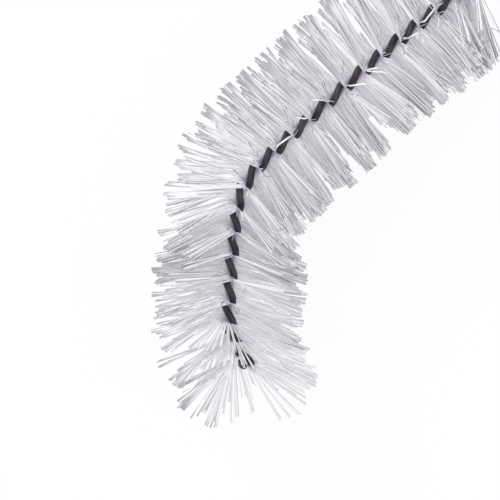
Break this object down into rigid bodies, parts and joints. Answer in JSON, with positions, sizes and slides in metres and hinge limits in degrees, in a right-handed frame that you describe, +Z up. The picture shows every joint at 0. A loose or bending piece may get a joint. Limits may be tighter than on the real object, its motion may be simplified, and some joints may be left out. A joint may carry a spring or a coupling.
{
  "type": "bottle brush",
  "caption": "Twisted-wire bottle brush with a bent neck, gripped nylon bristles and a bare twisted handle that ends in a hanging ring.",
  "frame": {"origin": "on the floor, below the middle of the whole brush as it lies on its bristles", "axes": "+X along the straight upper arm and handle towards the hanging ring, +Z up from the floor, +Y towards the side away from the bent lower arm"},
  "size_m": [0.2515, 0.0989, 0.0554],
  "materials": {
    "wire": "matte",
    "bristles": "satin"
  },
  "bodies": {
    "root": {"wire": "wire", "bristle_row_01": "bristles", "bristle_row_02": "bristles", "bristle_row_03": "bristles", "bristle_row_04": "bristles", "bristle_row_05": "bristles", "bristle_row_06": "bristles", "bristle_row_07": "bristles", "bristle_row_08": "bristles", "bristle_row_09": "bristles", "bristle_row_10": "bristles", "bristle_row_11": "bristles", "bristle_row_12": "bristles", "bristle_row_13": "bristles", "bristle_row_14": "bristles", "bristle_row_15": "bristles", "bristle_row_16": "bristles", "bristle_row_17": "bristles", "bristle_row_18": "bristles", "bristle_row_19": "bristles", "bristle_row_20": "bristles", "bristle_row_21": "bristles"}
  },
  "joints": []
}
